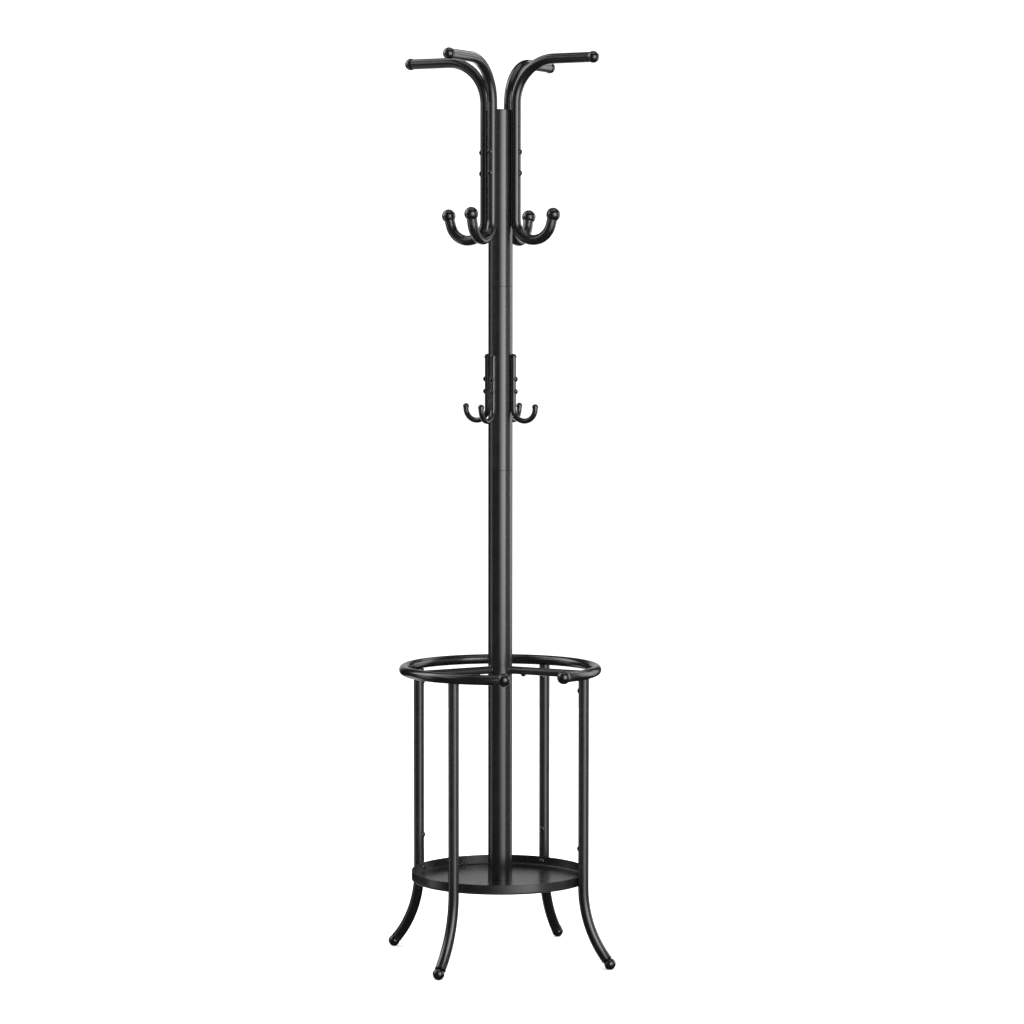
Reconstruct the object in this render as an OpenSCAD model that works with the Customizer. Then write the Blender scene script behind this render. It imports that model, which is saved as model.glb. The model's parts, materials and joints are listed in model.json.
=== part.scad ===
// Standing coat rack with a round umbrella stand: a bolted and plugged assembly of
// steel tubes. The pole's axis is Z and the floor is z = 0. The four hooks and the four
// legs point along +X, +Y, -X and -Y. All sizes are in millimetres.

/* [Pole] */
// Outside diameter of the pole tubes
pole_d = 48; // [40:0.5:60]
// Wall of the pole tubes
pole_wall = 1.5; // [1:0.1:2.5]
// Length of the bottom pole tube, which stands on the tray
bottom_len = 428; // [340:1:530]
// Length of the lower pole tube
lower_len = 384; // [300:1:480]
// Length of the middle pole tube, which carries the small hooks
middle_len = 360; // [300:1:450]
// Length of the top pole tube, which carries the upper hooks
top_len = 342; // [320:1:430]
// Length of the sleeve inside each pole joint
joiner_len = 80; // [50:1:120]
// Wall of the sleeve inside each pole joint
joiner_wall = 1.5; // [1:0.1:3]
// Chamfer round the ends of the pole tubes
pole_chamfer = 0.4; // [0.2:0.1:0.8]
// Thickness of the cap's disc on top of the pole
cap_t = 2.5; // [1.5:0.1:6]
// Length of the cap's plug inside the pole
cap_plug_len = 14; // [8:1:30]
// Wall of the cap's plug
cap_plug_wall = 2; // [1:0.1:4]
// Height of the welded plug in the foot of the pole
base_plug_h = 14; // [8:1:30]

/* [Upper hooks] */
// Diameter of the bent hook tube
hook_d = 20; // [16:0.5:26]
// Wall of the hook tube
hook_wall = 1.5; // [1:0.1:2.5]
// Centre-line radius of the U at the bottom of an upper hook
hook_u_r = 39.5; // [32:0.25:56]
// Height of the pole's top edge above the centre of the U
hook_u_drop = 215; // [180:0.5:290]
// Angle that the U turns through, from the vertical limb to its open end
hook_u_turn = 165; // [150:1:180]
// Straight length of the hook's tip beyond the U
hook_tip_len = 11; // [8:0.5:30]
// Height of the horizontal arm's centre line above the pole's top edge
arm_rise = 95; // [86:0.5:130]
// Centre-line radius of the bend under the arm
arm_bend_r = 83; // [50:1:110]
// Distance from the pole's axis to the end of the arm's tube
arm_reach = 197.5; // [180:0.5:260]
// How far an arm ball stands proud of the arm's tube all round
arm_ball_lip = 1.5; // [0.5:0.1:5]
// How far a hook ball stands proud of the hook's tube all round
hook_ball_lip = 3.5; // [0.5:0.1:6]
// Distance of the upper of the two bolts below the pole's top edge
hook_bolt_drop = 83; // [60:1:110]
// Spacing of the two bolts of an upper hook
hook_bolt_pitch = 41; // [20:1:60]

/* [Small hooks] */
// Diameter of the small hook's rod
small_d = 10.4; // [8:0.2:14]
// Wall of the small hook's rod, which is a thin tube
small_wall = 2; // [1:0.1:3]
// Centre-line radius of the small hook's U
small_u_r = 24.2; // [18:0.2:34]
// Distance from the middle pole tube's top end down to the small hook's upper bolt
small_bolt_drop = 181.5; // [120:0.5:220]
// Spacing of the two bolts of a small hook
small_bolt_pitch = 24.4; // [16:0.2:40]
// Length of the rod above the upper bolt
small_head_len = 45.4; // [20:0.2:60]
// Length of the rod from the lower bolt down to the centre of the U
small_tail_len = 33.2; // [20:0.2:60]
// Straight length of the outer limb above the small U
small_tip_len = 5; // [0:0.2:30]
// Wall of the dome caps on the small hooks' ends
dome_wall = 0.7; // [0.5:0.1:1.5]
// Height of a cap's dome above the end of the rod
dome_h = 4.4; // [2:0.1:5]
// Length of a cap's skirt over the rod
dome_skirt = 4; // [2:0.5:8]

/* [Umbrella ring] */
// Centre-line radius of the ring
ring_r = 190; // [160:1:240]
// Diameter of the ring's tube
ring_tube_d = 20; // [16:0.5:26]
// Wall of the ring's tube
ring_wall = 1.5; // [1:0.1:2.5]
// Distance of the ring's centre plane below the first pole joint
ring_below_joint = 10.6; // [10:0.1:60]
// Direction of the ball at the left end of the open ring, in degrees
ring_left_end = -59.2; // [-75:0.2:-50]
// Direction of the ball at the right end of the open ring, in degrees
ring_right_end = -21; // [-40:0.2:-16]
// How far a ring ball stands proud of the ring's tube all round
ring_ball_lip = 3; // [0.5:0.1:6]
// Diameter of the spokes and of the brackets that carry them
spoke_d = 15.5; // [10:0.5:18]
// Distance from the pole's axis to the bolt through a spoke's lap joint
spoke_bolt_r = 52; // [46:0.5:70]
// Length of the half-round lap joint
lap_len = 24; // [16:1:30]

/* [Legs] */
// Diameter of the leg tubes
leg_d = 21; // [17:0.5:26]
// Wall of the leg tubes
leg_wall = 1.5; // [1:0.1:2.5]
// Distance of a leg's centre line inside the ring's centre line
leg_inset = 4; // [0:0.5:5]
// Height of the joint between the upper and the lower leg tube
leg_joint_z = 200; // [185:0.5:260]
// Centre-line radius of the lower leg's outward bend
leg_bend_r = 209; // [180:1:300]
// Depth of the spigot in the lower leg, below the joint
spigot_below = 20; // [12:1:26]
// Height of the spigot in the upper leg, above the joint
spigot_above = 48; // [40:1:80]
// Wall of the spigots
spigot_wall = 2.5; // [1.5:0.1:4]
// Distance of the joint bolt above the leg joint
leg_bolt_rise = 32.5; // [20:0.5:36]
// Distance of the top bolt below the ring's centre plane
leg_top_bolt_drop = 32.5; // [24:0.5:50]
// Length of the stub under the ring, below the ring's centre plane
stub_len = 46; // [40:1:80]

/* [Feet] */
// How far the foot ball is larger than the leg's radius all round
foot_ball_lip = 1; // [0.5:0.1:4]
// Depth of the flat on the ball's underside
foot_flat = 0.4; // [0.2:0.1:1.5]
// Thickness of the collar between the ball and the leg
foot_collar_t = 1.8; // [1:0.1:4]
// How far the collar stands proud of the leg all round
foot_collar_lip = 0.5; // [0:0.1:2]
// Diameter of the neck between the collar and the ball
foot_neck_d = 13; // [8:0.5:18]

/* [Tray] */
// Height of the tray's underside above the floor
tray_z = 156.8; // [120:0.2:180]
// Height of the tray's rim
tray_h = 19.6; // [17:0.2:40]
// Sheet thickness of the tray
tray_t = 1.2; // [0.8:0.1:2]
// Outer radius of the corner between floor and rim
tray_corner_r = 3; // [2:0.5:5]
// Height of the tray bolts above the tray's underside
tray_bolt_rise = 10; // [9.5:0.5:14]

/* [Fasteners] */
// Shank of the large bolts in the upper hooks, legs and tray
m6_d = 6; // [5:0.5:8]
// Head of the large bolts
m6_head_d = 10.5; // [9:0.1:13]
// Height of a large bolt's head
m6_head_h = 3.3; // [2.5:0.1:5]
// Hexagon socket in a large bolt, across its flats
m6_socket = 4; // [3:0.5:5]
// Large nut across its flats
m6_nut_af = 10; // [9:0.5:13]
// Thickness of a large nut
m6_nut_t = 5; // [4:0.2:6.5]
// Shank of the small bolts in the small hooks and spokes
m5_d = 5; // [4:0.5:5.5]
// Head of the small bolts
m5_head_d = 10; // [8:0.1:11]
// Height of a small bolt's head
m5_head_h = 4; // [2:0.1:5]
// Hexagon socket in a small bolt, across its flats
m5_socket = 3; // [2:0.5:4]
// Small nut across its flats
m5_nut_af = 8; // [7:0.5:10]
// Thickness of a small nut
m5_nut_t = 4; // [3:0.2:5]
// Shank of the bolt through the tray into the pole
base_bolt_d = 8; // [6:0.5:10]
// Head of the bolt through the tray
base_head_d = 14; // [12:0.5:18]
// Height of the head of the bolt through the tray
base_head_h = 4.4; // [3:0.1:6]
// Length of the bolt through the tray
base_bolt_len = 16; // [12:1:20]
// Outside diameter of the washer under the tray
washer_d = 28; // [20:1:40]
// Thickness of the washer under the tray
washer_t = 2; // [1:0.5:4]

/* [Clearances] */
// Clearance in diameter between a bolt and the hole that it passes through
bolt_clearance = 0.5; // [0.2:0.1:1]
// Clearance in diameter between a bolt and its nut or tapped hole
thread_clearance = 0.1; // [0.05:0.05:0.2]
// Clearance all round between a sleeve, spigot or stub and its tube
sleeve_clearance = 0.15; // [0.05:0.05:0.4]
// Clearance all round between a plastic plug and its tube
plug_clearance = 0.2; // [0.1:0.05:0.5]
// Clearance in diameter between a plastic plug and a bent tube
curved_plug_clearance = 1.2; // [1:0.1:2]
// Clearance between a leg tube and the ring above it
seat_clearance = 0.3; // [0.1:0.1:1]
// Clearance in the half-round lap joints
lap_clearance = 0.1; // [0.05:0.05:0.3]
// Clearance between a leg's or a stub's top edge and the spoke above it
leg_top_clearance = 0.5; // [0.2:0.1:0.8]

/* [Hidden] */
$fn = 96;

// Colours: black powder coat, moulded black plastic, blackened screws, plain zinc
coat = [0.08, 0.08, 0.085];
plastic = [0.03, 0.03, 0.032];
screw = [0.12, 0.12, 0.125];
zinc = [0.6, 0.61, 0.63];

// Directions of the four hooks and legs, and of the three spokes
FRONT = -90;
RIGHT = 0;
BACK = 90;
LEFT = 180;
ARMS = [FRONT, RIGHT, BACK, LEFT];
SPOKE_RIGHT = 0;
SPOKE_BACK_LEFT = 120;
SPOKE_FRONT_LEFT = -120;
SPOKES = [SPOKE_RIGHT, SPOKE_BACK_LEFT, SPOKE_FRONT_LEFT];

// Pole: heights of its ends and joints
pole_r = pole_d / 2;
pole_bore_r = pole_r - pole_wall;
sleeve_r = pole_bore_r - sleeve_clearance;
pole_z = tray_z + tray_t;
joint_low_z = pole_z + bottom_len;
joint_mid_z = joint_low_z + lower_len;
joint_high_z = joint_mid_z + middle_len;
pole_top_z = joint_high_z + top_len;
cap_top_z = pole_top_z + cap_t;

// Upper hooks: the vertical limb lies against the pole
hook_r = pole_r + hook_d / 2;
hook_u_z = cap_top_z - hook_u_drop;
arm_z = cap_top_z + arm_rise;
arm_bend_z = arm_z - arm_bend_r;
hook_bore = hook_d - 2 * hook_wall;
hook_bolts_z = [cap_top_z - hook_bolt_drop, cap_top_z - hook_bolt_drop - hook_bolt_pitch];
arm_stem_len = 14;
hook_stem_len = hook_tip_len - 1;

// Small hooks
small_r = pole_r + small_d / 2;
small_bolts_z = [joint_high_z - small_bolt_drop, joint_high_z - small_bolt_drop - small_bolt_pitch];
small_top_z = small_bolts_z[0] + small_head_len;
small_u_z = small_bolts_z[1] - small_tail_len;
small_tip_z = small_u_z + small_tip_len;

// Ring, spokes and stubs
ring_z = joint_low_z - ring_below_joint;
ring_bore = ring_tube_d - 2 * ring_wall;
ring_ball_d = ring_tube_d + 2 * ring_ball_lip;
ring_ball_rise = sqrt(ring_ball_d * ring_ball_d - ring_tube_d * ring_tube_d) / 2;
ring_ball_turn = atan(ring_ball_rise / ring_r);
ring_from = ring_right_end + ring_ball_turn;
ring_to = ring_left_end + 360 - ring_ball_turn;
ring_stem_len = 8;
spoke_hole_roof = 1.5;
spoke_hole_depth = spoke_d / 2 - spoke_hole_roof;
spoke_bolt_len = spoke_d / 2 + spoke_hole_depth - 0.5;

// Legs: the lower leg bends outwards from the tray's underside down to the foot
leg_r = ring_r - leg_inset;
leg_bore = leg_d - 2 * leg_wall;
spigot_d = leg_bore - 2 * sleeve_clearance;
leg_top_z = ring_z - spoke_d / 2 - leg_top_clearance;
leg_bolt_z = leg_joint_z + leg_bolt_rise;
leg_top_bolt_z = ring_z - leg_top_bolt_drop;
foot_ball_d = leg_d + 2 * foot_ball_lip;
foot_ball_rise = sqrt(foot_ball_d * foot_ball_d - foot_neck_d * foot_neck_d) / 2;
foot_ball_z = foot_ball_d / 2 - foot_flat;
foot_offset = foot_collar_t + foot_ball_rise;
foot_stem_len = foot_collar_t + 7;
leg_drop = tray_z - foot_ball_z;
leg_turn = asin(leg_drop / norm([leg_bend_r, foot_offset])) - atan(foot_offset / leg_bend_r);
leg_end_r = leg_r + leg_bend_r * (1 - cos(leg_turn));
leg_end_z = tray_z - leg_bend_r * sin(leg_turn);

// Tray: the legs touch the outside of its rim
tray_r = leg_r - leg_d / 2;
tray_bolt_z = tray_z + tray_bolt_rise;
tray_head_r = sqrt(pow(tray_r - tray_t, 2) - pow(m6_head_d / 2, 2));

// Bolts: how far a screw's end stands out of its nut, the height of a head's straight rim
// and of its socket's floor as a part of the head's height
thread_end = 1.5;
head_rim_h = 0.6;
socket_floor = 0.4;

// How far a cut overruns the face that it goes through
over = 1;

// Nut faces lie where the nut's flats meet the inside of a round tube
function nut_seat(bore_r, nut_af) = sqrt(pow(bore_r, 2) - pow(nut_af / 2, 2));
pole_m6_nut_r = nut_seat(pole_bore_r, m6_nut_af);
pole_m5_nut_r = nut_seat(pole_bore_r, m5_nut_af);
leg_nut_offset = nut_seat(leg_bore / 2, m6_nut_af);

// ---------- shared shapes ----------

// Copies of a piece at the given directions round the pole
module around(directions) {
    for (direction = directions)
        rotate([0, 0, direction]) children();
}

// Ring-shaped section of a round tube
module tube_section(d, wall) {
    difference() {
        circle(d = d);
        circle(d = d - 2 * wall);
    }
}

// Straight tube that stands on the XY plane
module straight_tube(d, wall, length) {
    linear_extrude(length) tube_section(d, wall);
}

// Bent tube in the XZ plane, about the origin, from one angle on through a turn
module bent_tube(d, wall, bend_r, from, turn) {
    rotate([90, 0, 0])
        rotate([0, 0, from])
            rotate_extrude(angle = turn)
                translate([bend_r, 0]) tube_section(d, wall);
}

// Cylinder along +X
module x_cylinder(d, length) {
    rotate([0, 90, 0]) cylinder(d = d, h = length);
}

// Solid of the closed ring's outside, grown by a clearance
module ring_solid(clearance) {
    translate([0, 0, ring_z])
        rotate_extrude()
            translate([ring_r, 0]) circle(d = ring_tube_d + 2 * clearance);
}

// Ball on a flat seat at z = 0, with a stem below it that plugs into a tube
module ball_plug(ball_d, seat_d, stem_d, stem_len) {
    rise = sqrt(ball_d * ball_d - seat_d * seat_d) / 2;
    difference() {
        translate([0, 0, rise]) sphere(d = ball_d);
        translate([0, 0, -ball_d]) cylinder(d = 2 * ball_d, h = ball_d);
    }
    translate([0, 0, -stem_len]) cylinder(d = stem_d, h = stem_len);
}

// Button-head bolt: its head is above z = 0 and its shank below
module button_bolt(d, head_d, head_h, socket, length) {
    crown_h = head_h - head_rim_h;
    crown_r = (pow(head_d / 2, 2) + pow(crown_h, 2)) / (2 * crown_h);
    difference() {
        union() {
            intersection() {
                cylinder(d = head_d, h = head_h);
                translate([0, 0, head_h - crown_r]) sphere(r = crown_r);
            }
            translate([0, 0, -length]) cylinder(d = d, h = length);
        }
        translate([0, 0, head_h * socket_floor]) cylinder(d = socket / cos(30), h = head_h, $fn = 6);
    }
}

// Bolt along X that is driven towards the axis, with its head's underside at radius r
module inward_bolt(r, d, head_d, head_h, socket, length) {
    translate([r, 0, 0]) rotate([0, 90, 0]) button_bolt(d, head_d, head_h, socket, length);
}

// Bolt along X that is driven away from the axis, with its head's underside at radius r
module outward_bolt(r, d, head_d, head_h, socket, length) {
    translate([r, 0, 0]) rotate([0, -90, 0]) button_bolt(d, head_d, head_h, socket, length);
}

// Hexagon nut along +X from x = 0
module nut(af, t, bolt_d) {
    difference() {
        rotate([0, 90, 0]) cylinder(d = af / cos(30), h = t, $fn = 6);
        translate([-over, 0, 0]) x_cylinder(bolt_d + thread_clearance, t + 2 * over);
    }
}

// ---------- pole ----------

// Pole tube between two heights, chamfered at both ends
module pole_tube(bottom_z, length) {
    top_z = bottom_z + length;
    rotate_extrude()
        polygon([
            [pole_bore_r, bottom_z],
            [pole_r - pole_chamfer, bottom_z],
            [pole_r, bottom_z + pole_chamfer],
            [pole_r, top_z - pole_chamfer],
            [pole_r - pole_chamfer, top_z],
            [pole_bore_r, top_z]
        ]);
}

// Clearance holes through the pole's wall for one bolt height, in all four directions
module pole_holes(z, bolt_d) {
    around(ARMS)
        translate([pole_bore_r - over, 0, z])
            x_cylinder(bolt_d + bolt_clearance, pole_wall + 2 * over);
}

module pole_bottom_tube() {
    color(coat) pole_tube(pole_z, bottom_len);
}

module pole_lower_tube() {
    color(coat) pole_tube(joint_low_z, lower_len);
}

module pole_middle_tube() {
    color(coat) difference() {
        pole_tube(joint_mid_z, middle_len);
        for (z = small_bolts_z) pole_holes(z, m5_d);
    }
}

module pole_top_tube() {
    color(coat) difference() {
        pole_tube(joint_high_z, top_len);
        for (z = hook_bolts_z) pole_holes(z, m6_d);
    }
}

// Sleeve inside a pole joint, half of it in each tube
module pole_joiner(joint_z) {
    color(zinc)
        translate([0, 0, joint_z - joiner_len / 2])
            straight_tube(2 * sleeve_r, joiner_wall, joiner_len);
}

module pole_top_cap() {
    edge_r = 1;
    plug_r = pole_bore_r - plug_clearance;
    color(plastic) translate([0, 0, pole_top_z]) {
        rotate_extrude() {
            square([pole_r - edge_r, cap_t]);
            square([pole_r, cap_t - edge_r]);
            translate([pole_r - edge_r, cap_t - edge_r]) circle(r = edge_r);
        }
        translate([0, 0, -cap_plug_len]) straight_tube(2 * plug_r, cap_plug_wall, cap_plug_len);
    }
}

module pole_base_plug() {
    color(zinc) translate([0, 0, pole_z]) difference() {
        cylinder(r = sleeve_r, h = base_plug_h);
        translate([0, 0, -over]) cylinder(d = base_bolt_d + thread_clearance, h = base_plug_h + 2 * over);
    }
}

module base_bolt() {
    color(screw)
        translate([0, 0, tray_z - washer_t])
            rotate([180, 0, 0])
                button_bolt(base_bolt_d, base_head_d, base_head_h, m6_socket, base_bolt_len);
}

module base_washer() {
    color(zinc) translate([0, 0, tray_z - washer_t]) difference() {
        cylinder(d = washer_d, h = washer_t);
        translate([0, 0, -over]) cylinder(d = base_bolt_d + bolt_clearance, h = washer_t + 2 * over);
    }
}

// ---------- upper hooks ----------

// Places a piece at the end of the U, with its Z along the hook's tip
module hook_tip(direction) {
    rotate([0, 0, direction])
        translate([hook_r + hook_u_r, 0, hook_u_z])
            rotate([0, 180 - hook_u_turn, 0])
                translate([hook_u_r, 0, 0]) children();
}

// One tube: tip, U, vertical limb against the pole, bend and horizontal arm
module upper_hook(direction) {
    color(coat) rotate([0, 0, direction]) difference() {
        union() {
            hook_tip(0) straight_tube(hook_d, hook_wall, hook_tip_len);
            translate([hook_r + hook_u_r, 0, hook_u_z])
                bent_tube(hook_d, hook_wall, hook_u_r, 180, hook_u_turn);
            translate([hook_r, 0, hook_u_z])
                straight_tube(hook_d, hook_wall, arm_bend_z - hook_u_z);
            translate([hook_r + arm_bend_r, 0, arm_bend_z])
                bent_tube(hook_d, hook_wall, arm_bend_r, 90, 90);
            translate([hook_r + arm_bend_r, 0, arm_z])
                rotate([0, 90, 0])
                    straight_tube(hook_d, hook_wall, arm_reach - hook_r - arm_bend_r);
        }
        for (z = hook_bolts_z)
            translate([pole_r - over, 0, z])
                x_cylinder(m6_d + bolt_clearance, hook_d + 2 * over);
    }
}

module arm_ball(direction) {
    color(plastic)
        rotate([0, 0, direction])
            translate([arm_reach, 0, arm_z])
                rotate([0, 90, 0])
                    ball_plug(hook_d + 2 * arm_ball_lip, hook_d, hook_bore - 2 * plug_clearance, arm_stem_len);
}

// The stem plugs into the straight tip
module hook_ball(direction) {
    color(plastic)
        hook_tip(direction)
            translate([0, 0, hook_tip_len])
                ball_plug(hook_d + 2 * hook_ball_lip, hook_d, hook_bore - 2 * plug_clearance, hook_stem_len);
}

module upper_hook_bolts() {
    head_r = pole_r + hook_d;
    length = head_r - pole_m6_nut_r + m6_nut_t + thread_end;
    color(screw) around(ARMS)
        for (z = hook_bolts_z)
            translate([0, 0, z]) inward_bolt(head_r, m6_d, m6_head_d, m6_head_h, m6_socket, length);
}

module upper_hook_nuts() {
    color(zinc) around(ARMS)
        for (z = hook_bolts_z)
            translate([pole_m6_nut_r - m6_nut_t, 0, z]) nut(m6_nut_af, m6_nut_t, m6_d);
}

// ---------- small hooks ----------

module small_hook(direction) {
    color(coat) rotate([0, 0, direction]) difference() {
        union() {
            translate([small_r + 2 * small_u_r, 0, small_u_z])
                straight_tube(small_d, small_wall, small_tip_len);
            translate([small_r + small_u_r, 0, small_u_z])
                bent_tube(small_d, small_wall, small_u_r, 180, 180);
            translate([small_r, 0, small_u_z])
                straight_tube(small_d, small_wall, small_top_z - small_u_z);
        }
        for (z = small_bolts_z)
            translate([pole_r - over, 0, z])
                x_cylinder(m5_d + bolt_clearance, small_d + 2 * over);
    }
}

// Plastic cap over the end of a rod that reaches up to z = 0
module dome_cap() {
    cap_r = small_d / 2 + plug_clearance + dome_wall;
    dome_r = (cap_r * cap_r + dome_h * dome_h) / (2 * dome_h);
    difference() {
        union() {
            translate([0, 0, -dome_skirt]) cylinder(r = cap_r, h = dome_skirt);
            intersection() {
                cylinder(r = cap_r, h = dome_h);
                translate([0, 0, dome_h - dome_r]) sphere(r = dome_r);
            }
        }
        translate([0, 0, -dome_skirt - over])
            cylinder(d = small_d + 2 * plug_clearance, h = dome_skirt + over);
    }
}

// The skirt's back is trimmed where it would run into the pole
module small_hook_top_caps() {
    color(plastic) difference() {
        around(ARMS) translate([small_r, 0, small_top_z]) dome_cap();
        translate([0, 0, small_top_z - dome_skirt - over])
            cylinder(r = pole_r, h = dome_skirt + dome_h + 2 * over);
    }
}

module small_hook_tip_caps() {
    color(plastic) around(ARMS) translate([small_r + 2 * small_u_r, 0, small_tip_z]) dome_cap();
}

module small_hook_bolts() {
    head_r = pole_r + small_d;
    length = head_r - pole_m5_nut_r + m5_nut_t + thread_end;
    color(screw) around(ARMS)
        for (z = small_bolts_z)
            translate([0, 0, z]) inward_bolt(head_r, m5_d, m5_head_d, m5_head_h, m5_socket, length);
}

module small_hook_nuts() {
    color(zinc) around(ARMS)
        for (z = small_bolts_z)
            translate([pole_m5_nut_r - m5_nut_t, 0, z]) nut(m5_nut_af, m5_nut_t, m5_d);
}

// ---------- umbrella ring ----------

module umbrella_ring() {
    color(coat)
        translate([0, 0, ring_z])
            rotate([0, 0, ring_from])
                rotate_extrude(angle = ring_to - ring_from)
                    translate([ring_r, 0]) tube_section(ring_tube_d, ring_wall);
}

// Ball plugged into an end of the ring; side is 1 or -1, the way that the ball faces
module ring_ball(end_direction, side) {
    color(plastic)
        rotate([0, 0, end_direction])
            translate([ring_r, 0, ring_z])
                rotate([-90 * side, 0, 0])
                    ball_plug(ring_ball_d, ring_tube_d, ring_bore - curved_plug_clearance, ring_stem_len);
}

// Rod from the ring to the lap joint, where its upper half rests on the bracket
module spoke(direction) {
    lap_from = spoke_bolt_r - lap_len / 2;
    lap_to = spoke_bolt_r + lap_len / 2;
    color(coat) difference() {
        rotate([0, 0, direction]) translate([0, 0, ring_z]) difference() {
            translate([lap_from, 0, 0]) x_cylinder(spoke_d, ring_r - lap_from);
            translate([lap_from - over, -spoke_d, -spoke_d + lap_clearance])
                cube([lap_to - lap_from + over, 2 * spoke_d, spoke_d]);
            translate([spoke_bolt_r, 0, 0])
                cylinder(d = m5_d + thread_clearance, h = spoke_hole_depth);
        }
        ring_solid(0);
    }
}

// Short rods welded to the pole; the lower half of each end carries a spoke
module spoke_brackets() {
    lap_from = spoke_bolt_r - lap_len / 2 - lap_clearance;
    lap_to = spoke_bolt_r + lap_len / 2 - lap_clearance;
    color(coat) difference() {
        around(SPOKES) translate([0, 0, ring_z]) difference() {
            translate([pole_r - pole_wall, 0, 0]) x_cylinder(spoke_d, lap_to - pole_r + pole_wall);
            translate([lap_from, -spoke_d, 0]) cube([lap_to - lap_from + over, 2 * spoke_d, spoke_d]);
            translate([spoke_bolt_r, 0, -spoke_d])
                cylinder(d = m5_d + bolt_clearance, h = 2 * spoke_d);
        }
        translate([0, 0, ring_z - spoke_d]) cylinder(r = pole_r, h = 2 * spoke_d);
    }
}

module spoke_bolts() {
    color(screw) around(SPOKES)
        translate([spoke_bolt_r, 0, ring_z - spoke_d / 2])
            rotate([180, 0, 0]) button_bolt(m5_d, m5_head_d, m5_head_h, m5_socket, spoke_bolt_len);
}

// ---------- legs ----------

// Stubs welded under the ring; their tops are shaped to its tube
module ring_leg_stubs() {
    color(coat) difference() {
        around(ARMS) difference() {
            translate([leg_r, 0, ring_z - stub_len])
                straight_tube(spigot_d, spigot_wall, leg_top_z - ring_z + stub_len);
            translate([leg_r - leg_d, 0, leg_top_bolt_z]) x_cylinder(m6_d + thread_clearance, leg_d);
        }
        ring_solid(0);
    }
}

module upper_leg(direction) {
    color(coat) difference() {
        rotate([0, 0, direction]) difference() {
            translate([leg_r, 0, leg_joint_z])
                straight_tube(leg_d, leg_wall, leg_top_z - leg_joint_z);
            for (z = [leg_bolt_z, leg_top_bolt_z])
                translate([leg_r - leg_d, 0, z]) x_cylinder(m6_d + bolt_clearance, leg_d);
        }
        ring_solid(seat_clearance);
    }
}

// Bolts from the legs' inner side into the stubs or spigots
module leg_bolts(z) {
    length = leg_wall + sleeve_clearance + spigot_wall + thread_end;
    color(screw) around(ARMS)
        translate([0, 0, z])
            outward_bolt(leg_r - leg_d / 2, m6_d, m6_head_d, m6_head_h, m6_socket, length);
}

// Tubes fixed in the lower legs, over which the upper legs slide
module leg_spigots() {
    color(zinc) around(ARMS) difference() {
        translate([leg_r, 0, leg_joint_z - spigot_below])
            straight_tube(spigot_d, spigot_wall, spigot_below + spigot_above);
        translate([leg_r - leg_d, 0, leg_bolt_z]) x_cylinder(m6_d + thread_clearance, leg_d);
    }
}

module lower_leg(direction) {
    color(coat) rotate([0, 0, direction]) difference() {
        union() {
            translate([leg_r, 0, tray_z]) straight_tube(leg_d, leg_wall, leg_joint_z - tray_z);
            translate([leg_r + leg_bend_r, 0, tray_z])
                bent_tube(leg_d, leg_wall, leg_bend_r, 180, leg_turn);
        }
        translate([leg_r - leg_d, 0, tray_bolt_z]) x_cylinder(m6_d + bolt_clearance, leg_d);
    }
}

// Ball foot with a collar and a stem that plugs into the leg; the ball is flat on the floor
module foot(direction) {
    color(plastic) rotate([0, 0, direction]) difference() {
        translate([leg_end_r, 0, leg_end_z]) rotate([0, 180 - leg_turn, 0]) {
            cylinder(d = leg_d + 2 * foot_collar_lip, h = foot_collar_t);
            translate([0, 0, foot_collar_t])
                ball_plug(foot_ball_d, foot_neck_d, leg_bore - curved_plug_clearance, foot_stem_len);
        }
        translate([leg_end_r, 0, -foot_ball_d]) cylinder(d = 4 * foot_ball_d, h = foot_ball_d);
    }
}

// ---------- tray ----------

module tray() {
    inner_corner_r = tray_corner_r - tray_t;
    color(coat) translate([0, 0, tray_z]) difference() {
        rotate_extrude() {
            square([tray_r - tray_corner_r, tray_t]);
            translate([tray_r - tray_t, tray_corner_r])
                square([tray_t, tray_h - tray_corner_r - tray_t / 2]);
            translate([tray_r - tray_t / 2, tray_h - tray_t / 2]) circle(d = tray_t);
            translate([tray_r - tray_corner_r, tray_corner_r]) intersection() {
                difference() {
                    circle(r = tray_corner_r);
                    circle(r = inner_corner_r);
                }
                translate([0, -tray_corner_r]) square(tray_corner_r);
            }
        }
        translate([0, 0, -over]) cylinder(d = base_bolt_d + bolt_clearance, h = tray_t + 2 * over);
        around(ARMS)
            translate([tray_r - tray_t - over, 0, tray_bolt_rise])
                x_cylinder(m6_d + bolt_clearance, tray_t + 2 * over);
    }
}

module tray_bolts() {
    length = leg_r - leg_nut_offset + m6_nut_t + thread_end - tray_head_r;
    color(screw) around(ARMS)
        translate([0, 0, tray_bolt_z])
            outward_bolt(tray_head_r, m6_d, m6_head_d, m6_head_h, m6_socket, length);
}

module tray_nuts() {
    color(zinc) around(ARMS)
        translate([leg_r - leg_nut_offset, 0, tray_bolt_z]) nut(m6_nut_af, m6_nut_t, m6_d);
}

// ---------- nodes ----------

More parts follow.
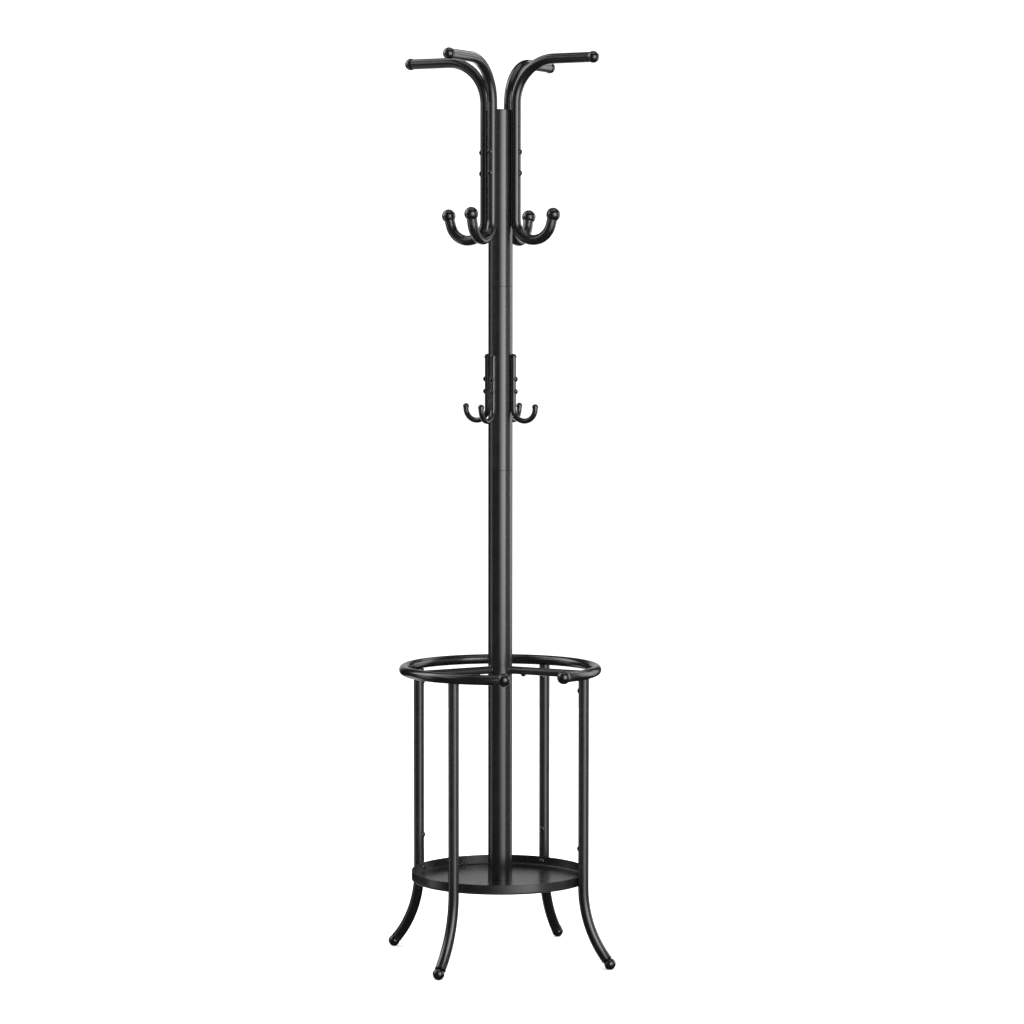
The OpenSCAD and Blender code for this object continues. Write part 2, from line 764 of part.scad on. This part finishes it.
pole_bottom_tube();
pole_lower_tube();
pole_middle_tube();
pole_top_tube();
pole_joiner(joint_low_z);  // pole_joiner_low
pole_joiner(joint_mid_z);  // pole_joiner_mid
pole_joiner(joint_high_z);  // pole_joiner_high
pole_top_cap();
pole_base_plug();
base_bolt();
base_washer();
upper_hook(FRONT);  // upper_hook_front
upper_hook(RIGHT);  // upper_hook_right
upper_hook(BACK);  // upper_hook_back
upper_hook(LEFT);  // upper_hook_left
arm_ball(FRONT);  // arm_ball_front
arm_ball(RIGHT);  // arm_ball_right
arm_ball(BACK);  // arm_ball_back
arm_ball(LEFT);  // arm_ball_left
hook_ball(FRONT);  // hook_ball_front
hook_ball(RIGHT);  // hook_ball_right
hook_ball(BACK);  // hook_ball_back
hook_ball(LEFT);  // hook_ball_left
upper_hook_bolts();
upper_hook_nuts();
small_hook(FRONT);  // small_hook_front
small_hook(RIGHT);  // small_hook_right
small_hook(BACK);  // small_hook_back
small_hook(LEFT);  // small_hook_left
small_hook_top_caps();
small_hook_tip_caps();
small_hook_bolts();
small_hook_nuts();
umbrella_ring();
ring_ball(ring_to, 1);  // ring_ball_left
ring_ball(ring_from, -1);  // ring_ball_right
spoke(SPOKE_RIGHT);  // spoke_right
spoke(SPOKE_BACK_LEFT);  // spoke_back_left
spoke(SPOKE_FRONT_LEFT);  // spoke_front_left
spoke_brackets();
spoke_bolts();
ring_leg_stubs();
leg_bolts(leg_top_bolt_z);  // leg_top_bolts
leg_spigots();
leg_bolts(leg_bolt_z);  // leg_joint_bolts
upper_leg(FRONT);  // upper_leg_front
upper_leg(RIGHT);  // upper_leg_right
upper_leg(BACK);  // upper_leg_back
upper_leg(LEFT);  // upper_leg_left
lower_leg(FRONT);  // lower_leg_front
lower_leg(RIGHT);  // lower_leg_right
lower_leg(BACK);  // lower_leg_back
lower_leg(LEFT);  // lower_leg_left
foot(FRONT);  // foot_front
foot(RIGHT);  // foot_right
foot(BACK);  // foot_back
foot(LEFT);  // foot_left
tray();
tray_bolts();
tray_nuts();
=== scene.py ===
"""Looks of the standing coat rack: materials, weld beads, mould lines, light and camera.

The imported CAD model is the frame. Everything here is in metres, in the row's own axes.
"""
import json
import math

import bmesh
import bpy
from mathutils import Matrix, Vector


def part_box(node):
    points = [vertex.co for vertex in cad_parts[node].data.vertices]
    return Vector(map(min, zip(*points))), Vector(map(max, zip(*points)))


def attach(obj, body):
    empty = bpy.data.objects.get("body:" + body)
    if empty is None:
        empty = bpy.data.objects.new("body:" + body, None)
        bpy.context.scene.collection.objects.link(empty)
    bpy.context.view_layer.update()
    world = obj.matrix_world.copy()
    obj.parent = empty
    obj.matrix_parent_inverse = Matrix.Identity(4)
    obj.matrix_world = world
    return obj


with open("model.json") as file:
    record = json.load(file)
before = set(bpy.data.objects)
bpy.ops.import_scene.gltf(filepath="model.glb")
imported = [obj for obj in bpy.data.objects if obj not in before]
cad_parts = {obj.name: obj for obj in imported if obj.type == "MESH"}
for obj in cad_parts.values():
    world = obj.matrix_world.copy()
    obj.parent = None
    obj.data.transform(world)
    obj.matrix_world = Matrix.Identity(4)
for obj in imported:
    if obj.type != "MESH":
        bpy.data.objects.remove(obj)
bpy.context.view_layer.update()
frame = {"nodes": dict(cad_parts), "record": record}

MM = 0.001
SIDES = {"front": -90, "right": 0, "back": 90, "left": 180}
SPOKES = {"right": 0, "back_left": 120, "front_left": -120}


# ---------- sizes read from the frame ----------

def middle(node, axis):
    """Centre of a CAD node's box along one axis, 0 to 2."""
    low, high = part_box(node)
    return (low[axis] + high[axis]) / 2


def extent(node, axis):
    """Length of a CAD node's box along one axis, 0 to 2."""
    low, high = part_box(node)
    return high[axis] - low[axis]


POLE_R = extent("pole_lower_tube", 0) / 2
RING_Z = middle("umbrella_ring", 2)
RING_TUBE_R = extent("umbrella_ring", 2) / 2
RING_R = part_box("umbrella_ring")[1][1] - RING_TUBE_R
SPOKE_R = extent("spoke_right", 2) / 2
TRAY_FLOOR_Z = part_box("pole_bottom_tube")[0][2]


# ---------- material nodes ----------

def new_material(name):
    """A new node material, its node tree and its Principled shader."""
    material = bpy.data.materials.new(name)
    material.use_nodes = True
    return material, material.node_tree, material.node_tree.nodes["Principled BSDF"]


def object_position(tree):
    """Output with the point's place in the row frame, in metres."""
    return tree.nodes.new("ShaderNodeTexCoord").outputs["Object"]


def noise(tree, place, scale, detail=3.0):
    """Noise with about `scale` features per metre; its output is a grey value."""
    node = tree.nodes.new("ShaderNodeTexNoise")
    node.inputs["Scale"].default_value = scale
    node.inputs["Detail"].default_value = detail
    tree.links.new(place, node.inputs["Vector"])
    return node.outputs["Fac"]


def remap(tree, value, source, target=(0.0, 1.0)):
    """value, stretched from the source range to the target range and held inside it."""
    node = tree.nodes.new("ShaderNodeMapRange")
    node.inputs["From Min"].default_value = source[0]
    node.inputs["From Max"].default_value = source[1]
    node.inputs["To Min"].default_value = target[0]
    node.inputs["To Max"].default_value = target[1]
    tree.links.new(value, node.inputs["Value"])
    return node.outputs["Result"]


def math_node(tree, operation, a, b):
    """One math node; a and b are outputs or plain numbers."""
    node = tree.nodes.new("ShaderNodeMath")
    node.operation = operation
    for socket, value in zip(node.inputs, (a, b)):
        if isinstance(value, (int, float)):
            socket.default_value = value
        else:
            tree.links.new(value, socket)
    return node.outputs["Value"]


def mix_colour(tree, factor, first, second):
    """Colour between first and second, which are RGB triples or outputs."""
    node = tree.nodes.new("ShaderNodeMix")
    node.data_type = "RGBA"
    tree.links.new(factor, node.inputs["Factor"])
    for name, colour in (("A", first), ("B", second)):
        socket = next(s for s in node.inputs if s.name == name and s.type == "RGBA")
        if isinstance(colour, tuple):
            socket.default_value = (*colour, 1)
        else:
            tree.links.new(colour, socket)
    return next(s for s in node.outputs if s.type == "RGBA")


def bump(tree, height, depth, normal=None):
    """Bump of a given depth in metres, on top of another bump if one is given."""
    node = tree.nodes.new("ShaderNodeBump")
    node.inputs["Strength"].default_value = 1.0
    node.inputs["Distance"].default_value = depth
    tree.links.new(height, node.inputs["Height"])
    if normal is not None:
        tree.links.new(normal, node.inputs["Normal"])
    return node.outputs["Normal"]


def edge_mask(tree, pointiness_range):
    """0 on flat stretches and 1 along convex edges."""
    pointiness = tree.nodes.new("ShaderNodeNewGeometry").outputs["Pointiness"]
    return remap(tree, pointiness, pointiness_range)


def scaled(colour, factor):
    """An RGB triple, lighter or darker by a factor."""
    return tuple(channel * factor for channel in colour)


# ---------- materials ----------

COAT_COLOUR = (0.0036, 0.0036, 0.0038)
COAT_ROUGHNESS = 0.205
COAT_HANDLING_ROUGHNESS = 0.03
COAT_EDGES = (0.53, 0.60)  # pointiness at which the wear of an edge starts and is complete
TRAY_ROUGHNESS = 0.27
TRAY_MARK_ROUGHNESS = 0.02
TRAY_CORNER_ROUGHNESS = 0.3
PLASTIC_COLOUR = (0.0030, 0.0030, 0.0032)
PLASTIC_ROUGHNESS = 0.16
PLASTIC_SCRATCH_ROUGHNESS = 0.05
SCREW_COLOURS = (0.022, 0.022, 0.023), (0.040, 0.039, 0.039)
SCREW_BARE_COLOUR = (0.12, 0.117, 0.115)
SCREW_EDGES = (0.55, 0.66)
SCREW_EDGE_WEAR = 0.7
ZINC_COLOURS = (0.50, 0.51, 0.53), (0.66, 0.66, 0.67)
FLOOR_COLOUR = (0.93, 0.93, 0.93)
MID_GREYS = (0.3, 0.7)  # the range that most of a noise pattern lies in


def powder_coat(name, roughness=COAT_ROUGHNESS):
    """Black powder coat: orange peel, faint mottling and slightly burnished edges."""
    material, tree, shader = new_material(name)
    place = object_position(tree)
    mottle = noise(tree, place, scale=38.0, detail=4.0)
    peel = noise(tree, place, scale=620.0, detail=2.0)
    grain = noise(tree, place, scale=3400.0, detail=1.0)
    handling = remap(tree, noise(tree, place, scale=11.0), (0.48, 0.72))
    coat = mix_colour(tree, remap(tree, mottle, MID_GREYS), COAT_COLOUR, scaled(COAT_COLOUR, 1.2))
    edges = math_node(tree, "MULTIPLY", edge_mask(tree, COAT_EDGES), mottle)
    tree.links.new(mix_colour(tree, edges, coat, scaled(COAT_COLOUR, 3.0)),
                   shader.inputs["Base Color"])
    mottled = remap(tree, mottle, MID_GREYS, (roughness - 0.01, roughness + 0.015))
    handled = math_node(tree, "MULTIPLY", handling, COAT_HANDLING_ROUGHNESS)
    tree.links.new(math_node(tree, "ADD", mottled, handled), shader.inputs["Roughness"])
    normal = bump(tree, peel, 0.02 * MM)
    tree.links.new(bump(tree, grain, 0.003 * MM, normal), shader.inputs["Normal"])
    return material


def moulded_plastic(name):
    """Glossy black moulded plastic with faint flow marks and hairline scratches."""
    material, tree, shader = new_material(name)
    place = object_position(tree)
    flow = noise(tree, place, scale=90.0)
    fine = noise(tree, place, scale=1500.0, detail=2.0)
    stretch = tree.nodes.new("ShaderNodeMapping")
    stretch.inputs["Scale"].default_value = (400.0, 60.0, 4000.0)
    tree.links.new(place, stretch.inputs["Vector"])
    scratch = noise(tree, stretch.outputs["Vector"], scale=1.0, detail=4.0)
    scratch = remap(tree, scratch, (0.62, 0.70))
    tree.links.new(mix_colour(tree, remap(tree, flow, (0.35, 0.7)),
                              PLASTIC_COLOUR, scaled(PLASTIC_COLOUR, 1.3)),
                   shader.inputs["Base Color"])
    flowed = remap(tree, flow, MID_GREYS, (PLASTIC_ROUGHNESS - 0.01, PLASTIC_ROUGHNESS + 0.02))
    scratched = math_node(tree, "MULTIPLY", scratch, PLASTIC_SCRATCH_ROUGHNESS)
    tree.links.new(math_node(tree, "ADD", flowed, scratched), shader.inputs["Roughness"])
    tree.links.new(bump(tree, fine, 0.004 * MM), shader.inputs["Normal"])
    return material


def blackened_screw(name):
    """Blackened steel: a metal under a thin dark layer, bare at the edges of its socket."""
    material, tree, shader = new_material(name)
    place = object_position(tree)
    patches = noise(tree, place, scale=700.0)
    edges = math_node(tree, "MULTIPLY", edge_mask(tree, SCREW_EDGES), SCREW_EDGE_WEAR)
    dark = mix_colour(tree, patches, *SCREW_COLOURS)
    tree.links.new(mix_colour(tree, edges, dark, SCREW_BARE_COLOUR), shader.inputs["Base Color"])
    tree.links.new(remap(tree, patches, MID_GREYS, (0.24, 0.34)), shader.inputs["Roughness"])
    shader.inputs["Metallic"].default_value = 0.85
    grain = noise(tree, place, scale=5200.0, detail=2.0)
    tree.links.new(bump(tree, grain, 0.012 * MM), shader.inputs["Normal"])
    return material


def zinc_plate(name):
    """Plain zinc plating with a fine spangle."""
    material, tree, shader = new_material(name)
    place = object_position(tree)
    cells = tree.nodes.new("ShaderNodeTexVoronoi")
    cells.inputs["Scale"].default_value = 420.0
    tree.links.new(place, cells.inputs["Vector"])
    spangle = remap(tree, cells.outputs["Distance"], (0.0, 0.7))
    tree.links.new(mix_colour(tree, spangle, *ZINC_COLOURS), shader.inputs["Base Color"])
    tree.links.new(remap(tree, spangle, (0.0, 1.0), (0.28, 0.42)), shader.inputs["Roughness"])
    shader.inputs["Metallic"].default_value = 1.0
    tree.links.new(bump(tree, noise(tree, place, scale=1800.0), 0.02 * MM), shader.inputs["Normal"])
    return material


def tray_coat(name, floor_z):
    """A duller powder coat with faint drying marks on the tray's floor and a matt corner."""
    material = powder_coat(name, TRAY_ROUGHNESS)
    tree = material.node_tree
    shader = tree.nodes["Principled BSDF"]
    place = object_position(tree)
    drops = tree.nodes.new("ShaderNodeTexVoronoi")
    drops.feature = "DISTANCE_TO_EDGE"
    drops.inputs["Scale"].default_value = 34.0
    tree.links.new(place, drops.inputs["Vector"])
    mark = remap(tree, drops.outputs["Distance"], (0.0, 0.05), (TRAY_MARK_ROUGHNESS, 0.0))
    axes = tree.nodes.new("ShaderNodeSeparateXYZ")
    tree.links.new(place, axes.inputs["Vector"])
    height = axes.outputs["Z"]
    on_floor = remap(tree, height, (floor_z + 0.5 * MM, floor_z + 1.5 * MM), (1.0, 0.0))
    before = shader.inputs["Roughness"].links[0].from_socket
    marked = math_node(tree, "ADD", before, math_node(tree, "MULTIPLY", mark, on_floor))
    above_floor = remap(tree, height, (floor_z + 0.1 * MM, floor_z + 0.6 * MM),
                        (0.0, TRAY_CORNER_ROUGHNESS))
    under_wall = remap(tree, height, (floor_z + 2 * MM, floor_z + 4 * MM), (1.0, 0.0))
    corner = math_node(tree, "MULTIPLY", above_floor, under_wall)
    tree.links.new(math_node(tree, "ADD", marked, corner), shader.inputs["Roughness"])
    return material


def stage_paint(name):
    """Plain pale studio floor with a barely visible mottling."""
    material, tree, shader = new_material(name)
    tone = remap(tree, noise(tree, object_position(tree), scale=0.8, detail=2.0), MID_GREYS)
    tree.links.new(mix_colour(tree, tone, FLOOR_COLOUR, scaled(FLOOR_COLOUR, 0.99)),
                   shader.inputs["Base Color"])
    shader.inputs["Roughness"].default_value = 0.9
    shader.inputs["Specular IOR Level"].default_value = 0.0
    return material


COAT = powder_coat("black_powder_coat")
PLASTIC = moulded_plastic("black_plastic")
SLOT_MATERIALS = {
    "black_powder_coat": COAT,
    "black_plastic": PLASTIC,
    "black_screw": blackened_screw("black_screw"),
    "zinc_steel": zinc_plate("zinc_steel"),
}
NODE_MATERIALS = {"tray": tray_coat("tray_powder_coat", TRAY_FLOOR_Z)}


def finish_cad_nodes():
    """Gives every carried-over CAD node its own material or that of its slot."""
    for part in frame["record"]["subparts"]:
        node = frame["nodes"][part["node"]]
        material = NODE_MATERIALS.get(part["node"], SLOT_MATERIALS[part["material_slot"]])
        node.data.materials.clear()
        node.data.materials.append(material)


# ---------- shared mesh code ----------

def bead_rows(mesh, points, radii, sides):
    """One ring of vertices round each point of a closed curve, square to the curve there."""
    count = len(points)
    rows = []
    side = None
    for i, point in enumerate(points):
        along = (points[(i + 1) % count] - points[i - 1]).normalized()
        if side is None:
            side = along.orthogonal().normalized()
        else:
            side = (side - along * side.dot(along)).normalized()
        up = along.cross(side)
        turns = (2 * math.pi * k / sides for k in range(sides))
        rows.append([mesh.verts.new(point + radii[i] * (side * math.cos(t) + up * math.sin(t)))
                     for t in turns])
    return rows


def bead_mesh(name, points, radii, sides):
    """A round bead along a closed curve; each point has its own radius."""
    mesh = bmesh.new()
    rows = bead_rows(mesh, points, radii, sides)
    for i, first in enumerate(rows):
        last_row = i == len(rows) - 1
        second = rows[0] if last_row else rows[i + 1]
        shift = 0
        if last_row:
            shift = min(range(sides), key=lambda s: (second[s].co - first[0].co).length)
        for k in range(sides):
            mesh.faces.new((first[k], first[(k + 1) % sides],
                            second[(k + 1 + shift) % sides], second[(k + shift) % sides]))
    bmesh.ops.recalc_face_normals(mesh, faces=mesh.faces)
    data = bpy.data.meshes.new(name)
    mesh.to_mesh(data)
    mesh.free()
    for face in data.polygons:
        face.use_smooth = True
    return data


def add_piece(name, data, material):
    """Puts a mesh in the scene as a piece of the rack, riding on its one body."""
    data.materials.append(material)
    piece = bpy.data.objects.new(name, data)
    bpy.context.scene.collection.objects.link(piece)
    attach(piece, "root")


def polar(distance, direction, z):
    """Point at a direction in degrees round the pole."""
    angle = math.radians(direction)
    return Vector((distance * math.cos(angle), distance * math.sin(angle), z))


def turned(points, direction):
    """Points turned about the pole's axis by a direction in degrees."""
    turn = Matrix.Rotation(math.radians(direction), 3, "Z")
    return [turn @ p for p in points]


# ---------- weld beads ----------

WELD_R = 1.3 * MM
WELD_STEPS = 96
WELD_SIDES = 10
WELD_RIPPLES = 24
RIPPLE_LOW = 0.86  # least share of the bead's radius, and what one scale of the weld adds
RIPPLE_RISE = 0.22


def ripple(step):
    """Radius of a weld bead at one step: the overlapping scales of a hand weld."""
    phase = (step * WELD_RIPPLES / WELD_STEPS) % 1.0
    return WELD_R * (RIPPLE_LOW + RIPPLE_RISE * math.sqrt(max(0.0, 1 - phase * phase)))


def spoke_section():
    """The y and z of points round a spoke's section, about its axis."""
    for i in range(WELD_STEPS):
        turn = 2 * math.pi * i / WELD_STEPS
        yield SPOKE_R * math.cos(turn), SPOKE_R * math.sin(turn)


def spoke_ring_weld(direction):
    """Closed curve where a spoke meets the inside of the ring's tube."""
    points = []
    for y, z in spoke_section():
        flat = RING_R - math.sqrt(RING_TUBE_R ** 2 - z * z)
        points.append(Vector((math.sqrt(flat * flat - y * y), y, RING_Z + z)))
    return turned(points, direction)


def bracket_pole_weld(direction):
    """Closed curve where a spoke bracket meets the pole."""
    points = [Vector((math.sqrt(POLE_R ** 2 - y * y), y, RING_Z + z)) for y, z in spoke_section()]
    return turned(points, direction)


def add_welds():
    """Beads at the ring's end and at the pole's end of the three spokes."""
    radii = [ripple(i) for i in range(WELD_STEPS)]
    for side, direction in SPOKES.items():
        for place, curve in (("ring", spoke_ring_weld), ("pole", bracket_pole_weld)):
            name = f"weld_{place}_{side}"
            data = bead_mesh(name, curve(direction), radii, WELD_SIDES)
            add_piece(name, data, COAT)


# ---------- mould lines ----------

MOULD_LINE_R = 0.16 * MM
MOULD_LINE_SINK = 0.08 * MM
MOULD_LINE_STEPS = 96
MOULD_LINE_SIDES = 6
FOOT_FLAT = 0.4 * MM  # how far the floor cuts into a foot's ball
RING_TUBE_ENDS = {"left": -61.7, "right": -18.5}  # degrees round the pole
HOOK_TIP_LEAN = 15  # degrees from upright of the tube's end under a hook's ball
FOOT_LEAN = 41  # degrees from upright of the leg's end over a foot


def circle(centre, axis, radius):
    """Points on a circle round an axis."""
    side = axis.orthogonal().normalized()
    up = axis.cross(side)
    turns = (2 * math.pi * i / MOULD_LINE_STEPS for i in range(MOULD_LINE_STEPS))
    return [centre + radius * (side * math.cos(t) + up * math.sin(t)) for t in turns]


def add_mould_line(name, centre, axis, ball_r):
    """The thin ridge that the two halves of the mould leave round a ball."""
    points = circle(centre, axis.normalized(), ball_r - MOULD_LINE_SINK)
    data = bead_mesh(name, points, [MOULD_LINE_R] * len(points), MOULD_LINE_SIDES)
    add_piece(name, data, PLASTIC)


def outer_ball(node, direction):
    """Radius of a ball on one side of the rack, its distance from the pole, bottom and top."""
    low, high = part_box(node)
    along = 0 if direction in (0, 180) else 1
    across = 1 - along
    ball_r = (high[across] - low[across]) / 2
    reach = max(abs(low[along]), abs(high[along])) - ball_r
    return ball_r, reach, low[2], high[2]


def add_side_mould_lines(side, direction):
    """Mould lines of the arm's, the hook's and the foot's ball on one side of the rack."""
    out = polar(1, direction, 0)
    up = Vector((0, 0, 1))
    ball_r, reach, low, high = outer_ball(f"arm_ball_{side}", direction)
    add_mould_line(f"mould_line_arm_{side}", out * reach + up * (low + high) / 2, out, ball_r)
    ball_r, reach, low, high = outer_ball(f"hook_ball_{side}", direction)
    lean = math.radians(HOOK_TIP_LEAN)
    axis = out * math.sin(lean) + up * math.cos(lean)
    add_mould_line(f"mould_line_hook_{side}", out * reach + up * (high - ball_r), axis, ball_r)
    ball_r, reach, low, high = outer_ball(f"foot_{side}", direction)
    lean = math.radians(FOOT_LEAN)
    axis = out * math.sin(lean) - up * math.cos(lean)
    add_mould_line(f"mould_line_foot_{side}", out * reach + up * (ball_r - FOOT_FLAT), axis, ball_r)


def add_ring_mould_line(side):
    """Mould line of the ball at one end of the open ring, square to the end of its tube."""
    low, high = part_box(f"ring_ball_{side}")
    ball_r = (high[2] - low[2]) / 2
    beyond = math.sqrt(ball_r ** 2 - RING_TUBE_R ** 2)
    tube_end = RING_TUBE_ENDS[side]
    turn = math.degrees(math.atan(beyond / RING_R)) * (1 if side == "left" else -1)
    centre = polar(math.hypot(RING_R, beyond), tube_end + turn, RING_Z)
    add_mould_line(f"mould_line_ring_{side}", centre, polar(1, tube_end + 90, 0), ball_r)


# ---------- light ----------

CAMERA_AZIMUTH = -61.15
CARD_DISTANCE = 4.0
FAR_CARD_DISTANCE = 6.0
WORLD_STRENGTH = 1.25

# A card spans two turns and two heights. A turn is in degrees round the pole, from the camera
# towards the right of the picture. A split card is brighter above CARD_SPLIT than below it.
CARD_TOP, CARD_SPLIT, CARD_BOTTOM = 3.4, 0.3, -0.9
SPLIT_CARDS = (  # name, turns, radiance above and below
    ("key_1", -8, 1, 1.2, 0.5),
    ("key_2", 1, 10, 3.0, 1.3),
    ("key_3", 10, 19, 4.9, 2.2),
    ("key_4", 19, 29, 6.6, 3.1),
    ("key_5", 29, 50, 8.0, 3.9),
    ("side_right", 56, 92, 0.75, 0.4),
)
CARDS = (  # name, turns, heights, radiance
    ("rim_right", 101, 128, 0.3, 3.3, 3.0),
    ("rim_right_low", 110, 128, -0.55, 0.3, 2.0),
    ("rim_back", 128, 146, 0.3, 2.15, 1.4),
    ("rim_back_low", 128, 142, -0.9, 0.3, 1.0),
    ("rim_back_high", 130, 162, 3.2, 4.8, 2.4),
    ("strip_left", -104, -84, -0.9, 3.4, 1.2),
    ("high_left", -96, -58, 2.05, 4.8, 2.2),
    ("back_middle", 165, 203, 0.2, 2.0, 0.65),
    ("back_low", 168, 194, -2.6, 0.15, 1.6),
    ("left_low", -150, -122, -2.6, -0.95, 2.0),
)
FAR_CARDS = (
    ("far_left", -122, -96, 2.3, 6.6, 4.8),
)
PANELS = (  # name, place, target, width, height, radiance
    ("top", (0.5, 0, 4.2), (0.5, 0, 0), 2.6, 2.6, 1.3),
    ("top_left", (-2.4, -0.2, 4.0), (0, 0, 0.9), 2.2, 2.2, 2.6),
    ("under_left", (-0.8, -0.3, 1.08), (-0.8, -0.3, 2), 0.76, 1.6, 0.55),
)


def add_area(name, place, target, width, height, radiance):
    """A rectangular area light that the camera doesn't see."""
    light = bpy.data.lights.new(name, "AREA")
    light.shape = "RECTANGLE"
    light.size = width
    light.size_y = height
    light.energy = radiance * math.pi * width * height
    lamp = bpy.data.objects.new(name, light)
    lamp.location = place
    lamp.rotation_euler = (target - place).to_track_quat("-Z", "Y").to_euler()
    lamp.visible_camera = False
    bpy.context.scene.collection.objects.link(lamp)


def add_card(name, from_turn, to_turn, low, high, radiance, distance=CARD_DISTANCE):
    """An upright softbox that spans two turns and faces the pole."""
    direction = CAMERA_AZIMUTH + (from_turn + to_turn) / 2
    width = 2 * distance * math.tan(math.radians(to_turn - from_turn) / 2)
    add_area(name, polar(distance, direction, (low + high) / 2), polar(0, 0, (low + high) / 2),
             width, high - low, radiance)


def add_lights():
    """Graded key at the front right, rims at the back right, strips and fills left and behind,
    soft light from above and a small card under the left arm."""
    for name, start, stop, above, below in SPLIT_CARDS:
        add_card(name, start, stop, CARD_SPLIT, CARD_TOP, above)
        add_card(f"{name}_low", start, stop, CARD_BOTTOM, CARD_SPLIT, below)
    for card in CARDS:
        add_card(*card)
    for card in FAR_CARDS:
        add_card(*card, distance=FAR_CARD_DISTANCE)
    for name, place, target, width, height, radiance in PANELS:
        add_area(name, Vector(place), Vector(target), width, height, radiance)


def add_world():
    """White surroundings that light the scene and fill the background; the coat doesn't mirror them."""
    world = bpy.data.worlds.new("studio")
    world.use_nodes = True
    sky = world.node_tree.nodes["Background"]
    sky.inputs["Color"].default_value = (1, 1, 1, 1)
    sky.inputs["Strength"].default_value = WORLD_STRENGTH
    world.cycles_visibility.glossy = False
    bpy.context.scene.world = world


# ---------- floor and camera ----------

FLOOR_HALF = 40.0
CAMERA_DISTANCE = 6.28  # from the pole's axis, in metres
CAMERA_HEIGHT = 1.28
CAMERA_PITCH = -3.583  # pitch, pan and roll in degrees; pan 0 looks at the pole
CAMERA_PAN = -0.210
CAMERA_ROLL = 0.05
CAMERA_LENS = 112.3  # lens and sensor in millimetres
SENSOR_WIDTH = 36.0
CLIP_END = 200.0


def add_floor():
    """Pale floor under the rack; the coat doesn't mirror it."""
    mesh = bmesh.new()
    corners = ((-1, -1), (1, -1), (1, 1), (-1, 1))
    mesh.faces.new([mesh.verts.new((x * FLOOR_HALF, y * FLOOR_HALF, 0)) for x, y in corners])
    data = bpy.data.meshes.new("floor")
    mesh.to_mesh(data)
    mesh.free()
    data.materials.append(stage_paint("floor_paint"))
    floor = bpy.data.objects.new("floor", data)
    bpy.context.scene.collection.objects.link(floor)
    floor.visible_glossy = False
    floor.visible_shadow = False


def add_camera():
    """Long lens at chest height, between the front and the right leg and nearer the front one."""
    data = bpy.data.cameras.new("camera")
    data.lens = CAMERA_LENS
    data.sensor_width = SENSOR_WIDTH
    data.clip_end = CLIP_END
    camera = bpy.data.objects.new("camera", data)
    camera.location = polar(CAMERA_DISTANCE, CAMERA_AZIMUTH, CAMERA_HEIGHT)
    pan = Matrix.Rotation(math.radians(CAMERA_AZIMUTH + 90 + CAMERA_PAN), 4, "Z")
    tilt = Matrix.Rotation(math.radians(90 + CAMERA_PITCH), 4, "X")
    roll = Matrix.Rotation(math.radians(CAMERA_ROLL), 4, "Z")
    camera.matrix_world = Matrix.Translation(camera.location) @ pan @ tilt @ roll
    bpy.context.scene.collection.objects.link(camera)
    bpy.context.scene.camera = camera


finish_cad_nodes()
add_welds()
for side, direction in SIDES.items():
    add_side_mould_lines(side, direction)
for side in RING_TUBE_ENDS:
    add_ring_mould_line(side)
add_world()
add_floor()
add_lights()
add_camera()
bpy.context.scene.view_settings.view_transform = "Standard"
